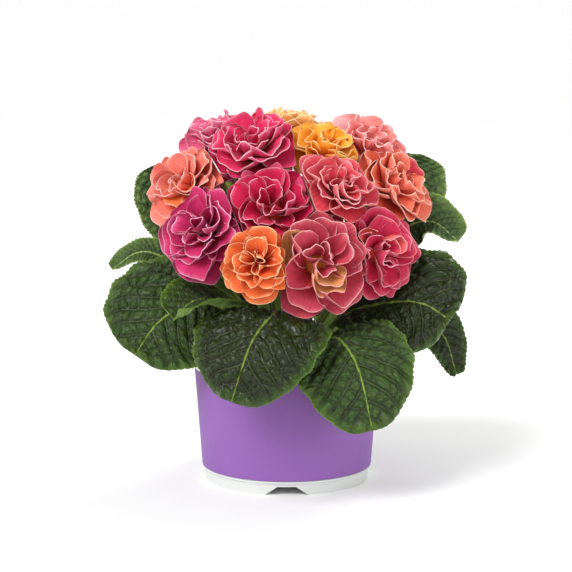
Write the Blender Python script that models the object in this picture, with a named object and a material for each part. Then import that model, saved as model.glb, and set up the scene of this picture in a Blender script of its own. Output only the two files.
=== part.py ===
"""A double primrose in its nursery pot, in metres, +Z up, standing on z = 0 round the Z axis.

The pot is a turned shell on three feet, with a printed label wrapped round its wall and filled with soil.
One crown stands in the soil and carries every flower stalk. Leaves leave the crown's side, arch over the
rim and droop. Each bloom is a rosette of separate petals rooted in a small core, and sits on its own stalk.
"""

import math
import random

import bmesh
import bpy
from mathutils import Matrix, Quaternion, Vector

MM = 0.001
UP = Vector((0.0, 0.0, 1.0))

# Pot, a turned shell
SEGMENTS = 32
FOOT_RADIUS = 47.3 * MM
FOOT_THICKNESS = 1.7 * MM
FOOT_DRAFT = 1.1 * MM  # the ring grows this much thicker towards the floor
FOOT_FLARE = 0.7 * MM
FOOT_TOP = 6.2 * MM
FLOOR_UNDERSIDE = 6.0 * MM
FLOOR_THICKNESS = 1.4 * MM
LABEL_BOTTOM = 8.0 * MM
LABEL_TOP = 65.4 * MM
LABEL_RADIUS = 49.2 * MM  # outer radius at the label's lower edge
WALL_SLOPE = 0.0758  # growth of radius with height
WALL_THICKNESS = 1.1 * MM
RIM_UNDERSIDE = 72.0 * MM
RIM_RADIUS = 56.3 * MM
POT_HEIGHT = 78.0 * MM
RIM_DRAFT = 0.3 * MM
CHAMFER = 0.8 * MM
SMOOTH_BELOW = math.radians(40)
WELD = 0.01 * MM
GAP = 0.3 * MM  # between pieces that touch

# Label, a thin sleeve in a recess of the wall
LABEL_THICKNESS = 0.6 * MM
LABEL_RECESS = LABEL_THICKNESS + GAP

# Notches between the feet, and drain holes
FEET = 3
NOTCH_HEIGHT = 4.9 * MM
NOTCH_HALF_WIDTH_LOW = 12.2 * MM
NOTCH_HALF_WIDTH_HIGH = 5.2 * MM
NOTCH_REACH = 6.0 * MM  # how far its cutter reaches to each side of the ring
NOTCH_BELOW = 0.5 * MM  # and below the ground
DRAIN_HOLES = 6
DRAIN_SIDES = 8
DRAIN_RADIUS = 3.5 * MM
DRAIN_CIRCLE = 27.0 * MM

# Soil and crown
SOIL_GAP = 0.4 * MM
SOIL_TOP = 66.0 * MM
SOIL_EDGE_DROP = 2.0 * MM
SOIL_MOUND = ((0.86, 0.5), (0.66, 0.8), (0.44, 1.0))  # shares of the soil's radius and of its edge's drop
SOIL_ROUGHNESS = 0.7 * MM
SOIL_SEED = 4
SOIL_SIDES = 24
CROWN_RADIUS = 10.0 * MM
CROWN_BOTTOM = 56.0 * MM
CROWN_TOP = 79.0 * MM
CROWN_TAPER = 0.8  # of its radius, at both ends
CROWN_SIDES = 12
CROWN_HOLE_RADIUS = CROWN_RADIUS + 0.5 * MM
CROWN_HOLE_LIP = 2.5 * MM
ROOT_GAP = 1.0 * MM  # from the crown's side to the middle of a leaf's root
LOW = 69.5 * MM  # heights at which leaves leave the crown
HIGH = 74.0 * MM

# Flower stalks
STALK_RADIUS = 1.3 * MM
STALK_ROOT_DEPTH = 5.0 * MM  # below the crown's top
STALK_ROOT_CIRCLE = 0.62  # of the crown's radius
STALK_STEPS = (0.0, 0.35, 0.7, 1.0)
STALK_BOW = 0.35  # how long a stalk keeps its first direction, and its last, as a share of its rise
STALK_START = (0.3, 0.75)  # that first direction, outwards and up
CALYX_LENGTH = 9.0 * MM
CALYX = ((0.55, 2.5 * MM), (1.0, 3.1 * MM))  # shares of that length, and the radius there
CLOSED_BUD = ((0.35, 2.7 * MM), (0.75, 3.9 * MM), (1.25, 0.7 * MM))
STALK_SIDES = 5

# Leaves
BLADE_THICKNESS = 0.9 * MM
PETIOLE_HALF_WIDTH = 1.9 * MM
PETIOLE_THICKNESS = 2.8 * MM
MIDRIB_DEPTH = 1.5 * MM
PLEATS = 5  # side veins in each half of a blade
PLEAT_HEIGHT = 1.8 * MM
SCALLOP = 0.04  # how far the margin swells between side veins, in half widths
VEIN_SLANT = 0.24  # how far a side vein runs towards the tip on its way to the margin
WIDE_LEAF = 38.0 * MM  # half width at which the pleats have their full height
BLADE_START = 0.2  # share of the midline taken by the leaf stalk
STALK_ROWS = (-0.25, -0.12, 0.0)  # rows of the leaf stalk, in blade lengths before the blade
LAST_ROW = 0.985
COLUMNS = 4
WIDEST = 0.56  # where along the blade a leaf is widest
BASE_WIDTH = 0.10  # width at the blade's start, as a share of the widest
BASE_CURVE = 0.85
TIP_CURVE = 2.2
TIP_WIDTH = 0.2
FLARE_SHARE = 0.12  # share of the blade over which it opens from the leaf stalk
ROLL_SHARE = 0.5  # share of the midline over which a leaf turns to its roll
MARGIN_THINNING = 0.55
TANGENT_STEP = 0.02

# Blooms
PETAL_THICKNESS = 0.75 * MM
CORE_SIDES = 5
CORE_RADIUS = 0.45  # the core's widest part and its heights, in bloom radii
CORE_WIDEST = -0.42
CORE_TOP = 0.0
PETAL_WIDTHS = (0.14, 0.62, 0.95)  # a petal's width at its root, middle and tip
ROOT_CIRCLE = 0.10  # radius at which petals are rooted, in bloom radii
TIP_ROUNDING = 0.14
TIP_NOTCH = 0.08
BLOOM_BASE = 0.62  # depth of a bloom's underside below its middle, in bloom radii
PRESS = 6.0  # how sharply petals flatten where two blooms meet
PRESS_GAP = 0.5 * MM
NEIGHBOUR = 1.2  # blooms nearer than this many times their two radii press on each other
SHINGLE = 0.07  # how far one side of a petal lies outside its neighbour, in bloom radii
WRAP = 1.25  # the largest angle that half a petal covers, in radians
NARROWEST = 0.16  # smallest radius that a petal bends around, in bloom radii
LENGTH_SPREAD = 0.07  # random differences between petals
WIDTH_SPREAD = 0.08
ROOT_LEAN_SPREAD = 2.0
TIP_LEAN_SPREAD = 4.0
ANGLE_SPREAD = 0.09

# Each leaf: height of its root, points of its midline in mm after the root, half width in mm, roll in
# degrees and how far its margins rise, in half widths.
LEAVES = {
    "front": (LOW, [(-2, -32, 95), (-6, -59, 106), (-19, -85, 94), (-30, -90, 62)], 36, -6, -0.16),
    "front_right": (LOW, [(17, -32, 84), (28, -54, 91), (39, -72, 77), (47, -76, 43)], 34, 20, -0.10),
    "left": (LOW, [(-34, -12, 98), (-53, -19, 105), (-72, -28, 96), (-86, -33, 77)], 40, -47, -0.10),
    "right": (LOW, [(32, -12, 96), (53, -22, 105), (75, -31, 107), (92, -37, 98)], 40, 48, -0.16),
    "right_low": (LOW, [(41, 9, 87), (68, 14, 92), (90, 13, 83), (100, 11, 57)], 16, 60, 0.10),
    "right_curled": (HIGH, [(38, 13, 113), (64, 22, 139), (84, 20, 147), (100, 12, 136)], 18, 45, 0.25),
    "right_upright": (HIGH, [(33, 28, 108), (57, 44, 142), (71, 52, 168), (74, 56, 184)], 26, 50, 0.10),
    "left_upright": (HIGH, [(-34, 23, 108), (-56, 37, 140), (-68, 42, 163), (-70, 45, 179)], 24, -48, 0.10),
    "left_small": (HIGH, [(-40, 9, 104), (-67, 13, 124), (-85, 13, 130), (-102, 10, 120)], 9, -45, 0.30),
    "young": (HIGH, [(-23, -24, 96), (-39, -38, 108), (-51, -54, 112), (-62, -69, 104)], 17, -12, 0.40),
    "back_right": (LOW, [(15, 36, 92), (30, 62, 104), (40, 83, 93), (45, 90, 64)], 33, -6, -0.12),
    "back": (LOW, [(-14, 37, 92), (-26, 63, 105), (-35, 83, 95), (-40, 90, 68)], 33, 6, -0.12),
    "back_left": (LOW, [(-38, 14, 92), (-64, 26, 101), (-84, 34, 93), (-94, 39, 72)], 28, 20, -0.10),
    "back_side": (LOW, [(36, 24, 92), (59, 40, 103), (76, 52, 100), (86, 59, 86)], 20, -20, -0.05),
}

# Each bloom: middle in mm, radius in mm, a nudge to its facing, colour.
BLOOMS = {
    "bloom_magenta_back_left": ((-43, 22, 198.5), 23, (0, -0.3, 0), "magenta"),
    "bloom_magenta_top": ((-21, -8, 195.5), 27, (0, -0.3, 0), "magenta"),
    "bloom_apricot_back": ((0, 36, 205), 20, (0, -0.3, 0), "apricot"),
    "bloom_gold": ((22, 1, 193.5), 21, (0, -0.3, 0), "gold"),
    "bloom_rose_back_right": ((50, 25, 193), 25, (0, -0.5, 0), "salmon"),
    "bloom_coral_right": ((63, 0, 173), 25, (0, -0.4, 0), "salmon"),
    "bloom_rose_middle": ((29, -38, 175), 22, (0, 0, 0), "rose"),
    "bloom_coral_left": ((-59, -12, 174), 24, (0, -0.4, 0), "salmon"),
    "bloom_crimson_middle": ((-9, -42, 164), 27, (0, 0, 0), "crimson"),
    "bloom_magenta_left": ((-47, -46, 150), 26, (0, -0.2, 0), "magenta"),
    "bloom_orange_front": ((-16, -72, 136), 20, (0, 0, 0), "orange"),
    "bloom_rose_front": ((18, -62, 136), 29, (0, 0, 0), "rose"),
    "bloom_magenta_right": ((53, -34, 137), 24, (0, -0.3, 0), "crimson"),
    "bloom_magenta_back_low": ((-38, 66, 150), 25, (0, 0, 0), "magenta"),
    "bloom_orange_back": ((-15, 64, 178), 22, (0, 0, 0), "orange"),
    "bloom_crimson_back": ((8, 82, 138), 27, (0, 0, 0), "crimson"),
    "bloom_coral_back": ((24, 66, 171), 23, (0, 0, 0), "salmon"),
}
BUDS = [(-34, -18, 172)]  # closed buds between the blooms: where their cups end, in mm
CLUSTER_FOCUS_FRONT = Vector((0.0, 22.0, 112.0)) * MM  # blooms face away from these points
CLUSTER_FOCUS_BACK = Vector((0.0, 4.0, 122.0)) * MM
BACK_STARTS = 30.0 * MM

# Whorls of a bloom, outermost first: petals, length and half width in bloom radii, then the angle from the
# bloom's axis at the petal's root and at its tip, the height of the root in bloom radii, and columns and
# rows of faces.
WHORLS = [
    (5, 1.12, 0.66, 58, 100, -0.46, 2, 2),
    (4, 0.92, 0.56, 38, 82, -0.42, 2, 2),
    (3, 0.66, 0.40, 18, 56, -0.38, 1, 2),
]

COLOURS = {
    "pot_plastic": ((0.80, 0.80, 0.80, 1), 0.35),
    "label": ((0.30, 0.15, 0.43, 1), 0.40),
    "soil": ((0.045, 0.028, 0.018, 1), 0.95),
    "leaf": ((0.055, 0.13, 0.035, 1), 0.45),
    "stalk": ((0.20, 0.30, 0.06, 1), 0.55),
    "magenta": ((0.62, 0.02, 0.17, 1), 0.55),
    "crimson": ((0.60, 0.01, 0.09, 1), 0.55),
    "rose": ((0.66, 0.07, 0.13, 1), 0.55),
    "salmon": ((0.78, 0.16, 0.10, 1), 0.55),
    "orange": ((0.82, 0.18, 0.03, 1), 0.55),
    "gold": ((0.85, 0.36, 0.02, 1), 0.55),
    "apricot": ((0.85, 0.38, 0.12, 1), 0.55),
}


def material(name):
    """The material of that name, made from its colour and roughness the first time."""
    found = bpy.data.materials.get(name)
    if found:
        return found
    colour, roughness = COLOURS[name]
    made = bpy.data.materials.new(name)
    made.use_nodes = True
    shader = made.node_tree.nodes["Principled BSDF"]
    shader.inputs["Base Color"].default_value = colour
    shader.inputs["Roughness"].default_value = roughness
    return made


def finish(bm, name, material_name, smooth=True):
    """Makes the bmesh an object of the scene, with its faces pointing out."""
    bmesh.ops.recalc_face_normals(bm, faces=bm.faces)
    if bm.calc_volume(signed=True) < 0:
        bmesh.ops.reverse_faces(bm, faces=bm.faces)
    mesh = bpy.data.meshes.new(name)
    bm.to_mesh(mesh)
    bm.free()
    made = bpy.data.objects.new(name, mesh)
    bpy.context.scene.collection.objects.link(made)
    mesh.materials.append(material(material_name))
    if smooth:
        mesh.shade_smooth()
        mesh.set_sharp_from_angle(angle=SMOOTH_BELOW)
    return made


def apply_modifiers(obj):
    """Replaces the object's mesh with its evaluated one."""
    graph = bpy.context.evaluated_depsgraph_get()
    evaluated = bpy.data.meshes.new_from_object(obj.evaluated_get(graph))
    obj.modifiers.clear()
    obj.data = evaluated


def boolean(obj, others, operation):
    """Applies one Boolean of obj with all of others, which are then removed."""
    group = bpy.data.collections.new("operands")
    bpy.context.scene.collection.children.link(group)
    for other in others:
        bpy.context.scene.collection.objects.unlink(other)
        group.objects.link(other)
    modifier = obj.modifiers.new(operation.lower(), "BOOLEAN")
    modifier.operation = operation
    modifier.solver = "EXACT"
    modifier.operand_type = "COLLECTION"
    modifier.collection = group
    bpy.context.view_layer.update()
    apply_modifiers(obj)
    for other in others:
        bpy.data.objects.remove(other)
    bpy.data.collections.remove(group)


def turned(profile, name, material_name, segments=SEGMENTS, shape=None):
    """A solid of revolution from a profile of (radius, height) that starts and ends on the axis."""
    bm = bmesh.new()
    corners = [bm.verts.new((radius, 0.0, height)) for radius, height in profile]
    edges = [bm.edges.new(pair) for pair in zip(corners, corners[1:])]
    if profile[0][0] > 0:
        edges.append(bm.edges.new((corners[-1], corners[0])))
    outline = corners + edges
    bmesh.ops.spin(
        bm, geom=outline, cent=(0, 0, 0), axis=(0, 0, 1), angle=math.tau, steps=segments, use_merge=True
    )
    bmesh.ops.remove_doubles(bm, verts=bm.verts, dist=WELD)
    if shape:
        for vert in bm.verts:
            vert.co = shape(vert.co)
    return finish(bm, name, material_name)


def label_radius(height):
    return LABEL_RADIUS + (height - LABEL_BOTTOM) * WALL_SLOPE


def inner_radius(height):
    return label_radius(height) - LABEL_RECESS - WALL_THICKNESS


def pot():
    floor_top = FLOOR_UNDERSIDE + FLOOR_THICKNESS
    profile = [
        (0.0, FLOOR_UNDERSIDE),
        (FOOT_RADIUS - FOOT_THICKNESS - FOOT_DRAFT, FLOOR_UNDERSIDE),
        (FOOT_RADIUS - FOOT_THICKNESS, 0.0),
        (FOOT_RADIUS, 0.0),
        (FOOT_RADIUS + FOOT_FLARE, FOOT_TOP),
        (label_radius(FOOT_TOP), FOOT_TOP + CHAMFER),
        (label_radius(LABEL_BOTTOM), LABEL_BOTTOM),
        (label_radius(LABEL_BOTTOM) - LABEL_RECESS, LABEL_BOTTOM),
        (label_radius(LABEL_TOP) - LABEL_RECESS, LABEL_TOP),
        (label_radius(LABEL_TOP), LABEL_TOP),
        (label_radius(RIM_UNDERSIDE), RIM_UNDERSIDE),
        (RIM_RADIUS - RIM_DRAFT, RIM_UNDERSIDE + CHAMFER),
        (RIM_RADIUS, POT_HEIGHT - CHAMFER),
        (RIM_RADIUS - CHAMFER, POT_HEIGHT),
        (inner_radius(POT_HEIGHT), POT_HEIGHT),
        (inner_radius(floor_top), floor_top),
        (0.0, floor_top),
    ]
    shell = turned(profile, "pot", "pot_plastic")
    cutters = [notch(k) for k in range(FEET)] + [drain_hole(k) for k in range(DRAIN_HOLES)]
    boolean(shell, cutters, "DIFFERENCE")
    shell.data.set_sharp_from_angle(angle=SMOOTH_BELOW)


def notch(k):
    """The cutter of one notch between two feet: a wedge wide at the ground. The first faces the front."""
    bm = bmesh.new()
    bmesh.ops.create_cube(bm, size=1.0)
    slope = (NOTCH_HALF_WIDTH_LOW - NOTCH_HALF_WIDTH_HIGH) / NOTCH_HEIGHT
    for vert in bm.verts:
        height = NOTCH_HEIGHT if vert.co.z > 0 else -NOTCH_BELOW
        vert.co.x = FOOT_RADIUS + math.copysign(NOTCH_REACH, vert.co.x)
        vert.co.y = math.copysign(NOTCH_HALF_WIDTH_LOW - slope * height, vert.co.y)
        vert.co.z = height
    turn = Matrix.Rotation(math.tau * k / FEET - math.pi / 2, 3, "Z")
    bmesh.ops.rotate(bm, cent=(0, 0, 0), matrix=turn, verts=bm.verts)
    return finish(bm, f"notch_{k}", "pot_plastic", smooth=False)


def drain_hole(k):
    """The cutter of one drain hole through the pot's floor."""
    bm = bmesh.new()
    depth = 4 * FLOOR_THICKNESS
    bmesh.ops.create_cone(
        bm, cap_ends=True, segments=DRAIN_SIDES, radius1=DRAIN_RADIUS, radius2=DRAIN_RADIUS, depth=depth
    )
    angle = math.tau * (k + 0.5) / DRAIN_HOLES
    place = Vector((math.cos(angle) * DRAIN_CIRCLE, math.sin(angle) * DRAIN_CIRCLE, FLOOR_UNDERSIDE))
    bmesh.ops.translate(bm, vec=place, verts=bm.verts)
    return finish(bm, f"drain_{k}", "pot_plastic", smooth=False)


def label():
    low, high = LABEL_BOTTOM + GAP, LABEL_TOP - GAP
    profile = [
        (label_radius(low), low),
        (label_radius(high), high),
        (label_radius(high) - LABEL_THICKNESS, high),
        (label_radius(low) - LABEL_THICKNESS, low),
    ]
    turned(profile, "pot_label", "label")


def soil():
    """Soil filling the pot, slightly mounded, with a plain hole for the crown."""
    low = FLOOR_UNDERSIDE + FLOOR_THICKNESS + SOIL_GAP
    edge = SOIL_TOP - SOIL_EDGE_DROP
    reach = inner_radius(edge) - SOIL_GAP
    lip = CROWN_HOLE_RADIUS + CROWN_HOLE_LIP
    hole_floor = CROWN_BOTTOM - GAP
    profile = [
        (0.0, low),
        (inner_radius(low) - SOIL_GAP, low),
        (reach, edge),
        *((reach * share, edge + SOIL_EDGE_DROP * rise) for share, rise in SOIL_MOUND),
        (lip, SOIL_TOP),
        (CROWN_HOLE_RADIUS, SOIL_TOP - SOIL_GAP),
        (CROWN_HOLE_RADIUS, hole_floor),
        (0.0, hole_floor),
    ]
    chance = random.Random(SOIL_SEED)

    def crumble(point):
        on_top = point.z > edge + SOIL_GAP and math.hypot(point.x, point.y) > lip - WELD
        return point + UP * (chance.uniform(-SOIL_ROUGHNESS, SOIL_ROUGHNESS) if on_top else 0.0)

    turned(profile, "soil", "soil", segments=SOIL_SIDES, shape=crumble)


def tube(points, radii, sides, name, material_name):
    """A closed tube through the points, with that radius at each."""
    bm = bmesh.new()
    rings = []
    for k, (point, radius) in enumerate(zip(points, radii)):
        along = (points[min(k + 1, len(points) - 1)] - points[max(k - 1, 0)]).normalized()
        turn = along.to_track_quat("Z", "Y")
        ring = [
            bm.verts.new(point + turn @ Vector((math.cos(a) * radius, math.sin(a) * radius, 0.0)))
            for a in (math.tau * side / sides for side in range(sides))
        ]
        rings.append([bm.edges.new((ring[s], ring[(s + 1) % sides])) for s in range(sides)])
        if k in (0, len(points) - 1):
            bm.faces.new(ring)
    for lower, upper in zip(rings, rings[1:]):
        bmesh.ops.bridge_loops(bm, edges=lower + upper)
    return finish(bm, name, material_name)


def bezier(a, b, c, d, t):
    s = 1.0 - t
    return a * s**3 + b * (3 * s * s * t) + c * (3 * s * t * t) + d * t**3


def facing(name):
    """The direction that a bloom faces: away from the middle of the cluster."""
    middle, _, nudge, _ = BLOOMS[name]
    middle = Vector(middle) * MM
    focus = CLUSTER_FOCUS_BACK if middle.y > BACK_STARTS else CLUSTER_FOCUS_FRONT
    return ((middle - focus).normalized() + Vector(nudge)).normalized()


def stalk(end, outward, cup, name):
    """One flower stalk from the crown to that end, its last stretch widened to the cup's radii."""
    neck = end - outward * CALYX_LENGTH
    plan = Vector((end.x, end.y, 0.0))
    away = plan.normalized()
    root = UP * (CROWN_TOP - STALK_ROOT_DEPTH) + away * min(CROWN_RADIUS * STALK_ROOT_CIRCLE, plan.length)
    bow = (neck - root).length * STALK_BOW
    first = root + (away * STALK_START[0] + UP * STALK_START[1]) * bow
    points = [bezier(root, first, neck - outward * bow, neck, t) for t in STALK_STEPS]
    points += [neck + outward * CALYX_LENGTH * share for share, _ in cup]
    radii = [STALK_RADIUS] * len(STALK_STEPS) + [radius for _, radius in cup]
    return tube(points, radii, STALK_SIDES, name, "stalk")


def bloom_stalk(name):
    """The stalk of an open bloom, up to the bloom's underside."""
    middle, radius, _, _ = BLOOMS[name]
    outward = facing(name)
    end = Vector(middle) * MM - outward * (BLOOM_BASE * radius * MM + GAP)
    return stalk(end, outward, CALYX, f"stalk_{name}")


def bud(k):
    """A closed bud on its own stalk."""
    end = Vector(BUDS[k]) * MM
    return stalk(end, (end - CLUSTER_FOCUS_FRONT).normalized(), CLOSED_BUD, f"bud_{k}")


def crown_and_stalks():
    profile = [
        (0.0, CROWN_BOTTOM),
        (CROWN_RADIUS * CROWN_TAPER, CROWN_BOTTOM),
        (CROWN_RADIUS, SOIL_TOP),
        (CROWN_RADIUS, HIGH + PETIOLE_THICKNESS / 2),
        (CROWN_RADIUS * CROWN_TAPER, CROWN_TOP),
        (0.0, CROWN_TOP),
    ]
    crown = turned(profile, "crown_and_flower_stalks", "stalk", segments=CROWN_SIDES)
    stalks = [bloom_stalk(name) for name in BLOOMS] + [bud(k) for k in range(len(BUDS))]
    boolean(crown, stalks, "UNION")


def along(points, t):
    """A smooth curve through the points, at t from 0 to 1."""
    spans = len(points) - 1
    k = min(int(t * spans), spans - 1)
    s = t * spans - k
    before = points[k - 1] if k else points[0] * 2 - points[1]
    after = points[k + 2] if k + 2 <= spans else points[-1] * 2 - points[-2]
    a, b = points[k], points[k + 1]
    square = 2 * before - 5 * a + 4 * b - after
    cube = 3 * a - before - 3 * b + after
    return a + ((b - before) * s + square * s**2 + cube * s**3) / 2


def blade_outline(share):
    """Half width of a blade, as a share of the widest, at that share of its length."""
    if share < WIDEST:
        grown = math.sin(math.pi / 2 * max(share, 0.0) / WIDEST) ** BASE_CURVE
        return BASE_WIDTH + (1.0 - BASE_WIDTH) * grown
    return math.sqrt(1.0 - (1.0 - TIP_WIDTH**2) * ((share - WIDEST) / (1.0 - WIDEST)) ** TIP_CURVE)


class Leaf:
    """One leaf as a surface: u runs across from margin to margin, q along the midrib from the root."""

    def __init__(self, name):
        tier, points, half_width, roll, self.cup = LEAVES[name]
        points = [Vector(p) * MM for p in points]
        plan = Vector((points[0].x, points[0].y, 0.0)).normalized()
        start = plan * (CROWN_RADIUS + ROOT_GAP) + UP * tier
        self.points = [start] + points
        self.half_width = half_width * MM
        self.roll = math.radians(roll)
        reach = Vector((points[-1].x, points[-1].y, 0.0)).normalized()
        self.across = UP.cross(reach)

    def frame(self, t):
        """Midline point, direction across and upper side at t."""
        here = along(self.points, t)
        ahead = along(self.points, min(t + TANGENT_STEP, 1.0))
        tangent = (ahead - along(self.points, max(t - TANGENT_STEP, 0.0))).normalized()
        side = (self.across - tangent * self.across.dot(tangent)).normalized()
        eased = min(1.0, t / ROLL_SHARE)
        side = Quaternion(tangent, self.roll * eased * eased * (3 - 2 * eased)) @ side
        return here, side, tangent.cross(side)

    def at(self, u, q):
        """The point of the blade's middle layer, its upper normal, and the share of the blade's length."""
        share = q + VEIN_SLANT * abs(u) * (1.0 - q) if q > 0 else q
        t = BLADE_START + share * (1.0 - BLADE_START)
        here, side, upper = self.frame(min(max(t, 0.0), 1.0))
        blade = min(1.0, max(0.0, share / FLARE_SHARE))
        half = PETIOLE_HALF_WIDTH * (1 - blade) + self.half_width * blade_outline(share) * blade
        swell = math.cos(math.tau * PLEATS * q) * blade * math.sqrt(self.half_width / WIDE_LEAF)
        pleat = PLEAT_HEIGHT * swell * abs(u) * (1.5 - abs(u))
        half *= 1.0 + SCALLOP * swell * u * u
        lift = self.cup * self.half_width * u * u * blade
        return here + side * (u * half) + upper * (lift + pleat), upper, share

    def thickness(self, u, share):
        """Distances from the middle layer to the upper and to the lower face."""
        blade = min(1.0, max(0.0, share / FLARE_SHARE))
        stem = PETIOLE_THICKNESS / 2 * (1.0 - MARGIN_THINNING * u * u)
        rib = MIDRIB_DEPTH * (1.0 - share) if u == 0 else 0.0
        above = stem * (1 - blade) + BLADE_THICKNESS / 2 * blade
        return above, above + rib * blade


def sheet(columns, rows, place):
    """A closed thin solid: a grid whose two faces are split alike. place gives both points of a corner."""
    bm = bmesh.new()
    bmesh.ops.create_grid(bm, x_segments=columns, y_segments=rows, size=0.5)
    bmesh.ops.triangulate(bm, faces=bm.faces)
    upper = list(bm.verts)
    spots = [(vert.co.x + 0.5, vert.co.y + 0.5) for vert in upper]
    grown = bmesh.ops.extrude_face_region(bm, geom=bm.faces[:], use_keep_orig=True)["geom"]
    lower = [item for item in grown if isinstance(item, bmesh.types.BMVert)]
    pairs = {(round(v.co.x, 5), round(v.co.y, 5)): v for v in lower}
    mates = [pairs[round(vert.co.x, 5), round(vert.co.y, 5)] for vert in upper]
    for vert, mate, (x, y) in zip(upper, mates, spots):
        vert.co, mate.co = place(x, y)
    return bm


def leaf(name):
    surface = Leaf(name)
    rows = [*STALK_ROWS, *((k + 1) / (2 * PLEATS) for k in range(2 * PLEATS - 1)), LAST_ROW]

    def place(x, y):
        u = 2 * round(x * COLUMNS) / COLUMNS - 1
        q = rows[round(y * (len(rows) - 1))]
        point, upper, share = surface.at(u, q)
        above, below = surface.thickness(u, share)
        return point + upper * above, point - upper * below

    finish(sheet(COLUMNS, len(rows) - 1, place), f"leaf_{name}", "leaf")


def limits(name):
    """The planes that a bloom's petals stay behind, as (direction, distance) from its middle."""
    middle, radius, _, _ = BLOOMS[name]
    planes = []
    for other, (place, size, _, _) in BLOOMS.items():
        apart = (Vector(place) - Vector(middle)) * MM
        if other != name and apart.length < NEIGHBOUR * (radius + size) * MM:
            reach = apart.length * radius / (radius + size) - (PRESS_GAP + PETAL_THICKNESS) / 2
            planes.append((apart.normalized(), reach))
    return planes


def pressed(offset, planes):
    """A petal's point, drawn in towards the bloom's middle so that it stays on its own side of each plane."""
    distance = offset.length
    if distance < 1e-9:
        return offset
    nearest = min((reach * distance / max(offset.dot(side), 1e-9) for side, reach in planes), default=1.0)
    return offset / (1.0 + (distance / nearest) ** PRESS) ** (1.0 / PRESS)


def petal(whorl, angle, radius, chance):
    """A petal's surface in the bloom's own frame, as a function of u across and v from root to tip."""
    _, length, half_width, lean_root, lean_tip, root, _, _ = whorl
    length *= radius * (1 + chance.uniform(-LENGTH_SPREAD, LENGTH_SPREAD))
    half_width *= radius * (1 + chance.uniform(-WIDTH_SPREAD, WIDTH_SPREAD))
    start = math.radians(lean_root + chance.uniform(-ROOT_LEAN_SPREAD, ROOT_LEAN_SPREAD))
    turn = math.radians(lean_tip + chance.uniform(-TIP_LEAN_SPREAD, TIP_LEAN_SPREAD)) - start
    heart = chance.random() < 0.5

    def surface(u, v):
        notch = TIP_NOTCH * (1.0 - abs(u)) if heart else 0.0
        s = v * (1.0 - v * (TIP_ROUNDING * u * u + notch))
        lean = start + turn * s
        out = ROOT_CIRCLE * radius + length * (math.cos(start) - math.cos(lean)) / turn
        high = root * radius + length * (math.sin(lean) - math.sin(start)) / turn
        half = half_width * PETAL_WIDTHS[round(2 * v)]
        around = angle + WRAP * math.tanh(u * half / max(out, NARROWEST * radius) / WRAP)
        offset = SHINGLE * radius * u
        out += offset * math.cos(lean)
        high -= offset * math.sin(lean)
        aside = Vector((math.cos(around), math.sin(around), 0.0))
        return aside * out + UP * high, aside * math.cos(lean) - UP * math.sin(lean)

    return surface


def bloom(name):
    middle, radius, _, colour = BLOOMS[name]
    middle, radius = Vector(middle) * MM, radius * MM
    chance = random.Random(name)
    turn = facing(name).to_track_quat("Z", "Y") @ Quaternion(UP, chance.uniform(0, math.tau))
    planes = limits(name)
    petals = []
    for order, whorl in enumerate(WHORLS):
        first = chance.uniform(0, math.tau)
        for k in range(whorl[0]):
            angle = first + math.tau * k / whorl[0] + chance.uniform(-ANGLE_SPREAD, ANGLE_SPREAD)
            surface = petal(whorl, angle, radius, chance)

            def place(x, y):
                point, normal = surface(2 * x - 1, y)
                point = middle + pressed(turn @ point, planes)
                half = turn @ normal * PETAL_THICKNESS / 2
                return point - half, point + half

            petals.append(finish(sheet(*whorl[-2:], place), f"petal_{order}_{k}", colour, smooth=False))
    core = turned(
        [
            (0.0, -BLOOM_BASE * radius),
            (CORE_RADIUS * radius, CORE_WIDEST * radius),
            (0.0, CORE_TOP * radius),
        ],
        name,
        colour,
        segments=CORE_SIDES,
        shape=lambda point: middle + turn @ point,
    )
    boolean(core, petals, "UNION")


def main():
    for old in list(bpy.data.objects):
        bpy.data.objects.remove(old)
    pot()
    label()
    soil()
    crown_and_stalks()
    for name in LEAVES:
        leaf(name)
    for name in BLOOMS:
        bloom(name)


main()
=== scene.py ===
"""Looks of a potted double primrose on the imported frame: pot, sleeve, peat, stalks, leaves and blooms."""

import math
import random

import bmesh
import bpy
from mathutils import Matrix, Quaternion, Vector, noise


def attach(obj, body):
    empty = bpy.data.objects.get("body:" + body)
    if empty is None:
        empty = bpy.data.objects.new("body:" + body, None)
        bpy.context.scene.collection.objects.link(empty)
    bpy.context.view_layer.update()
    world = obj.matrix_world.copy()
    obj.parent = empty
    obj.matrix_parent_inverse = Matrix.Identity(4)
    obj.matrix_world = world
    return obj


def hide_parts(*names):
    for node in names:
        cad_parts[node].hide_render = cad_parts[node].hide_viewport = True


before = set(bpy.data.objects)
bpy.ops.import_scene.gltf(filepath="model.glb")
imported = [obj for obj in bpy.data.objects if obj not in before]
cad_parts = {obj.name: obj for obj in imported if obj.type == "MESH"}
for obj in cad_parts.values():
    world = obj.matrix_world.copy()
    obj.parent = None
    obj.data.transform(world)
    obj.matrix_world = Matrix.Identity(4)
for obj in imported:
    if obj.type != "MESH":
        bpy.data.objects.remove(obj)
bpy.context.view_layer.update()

MM = 0.001
UP = Vector((0.0, 0.0, 1.0))

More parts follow.
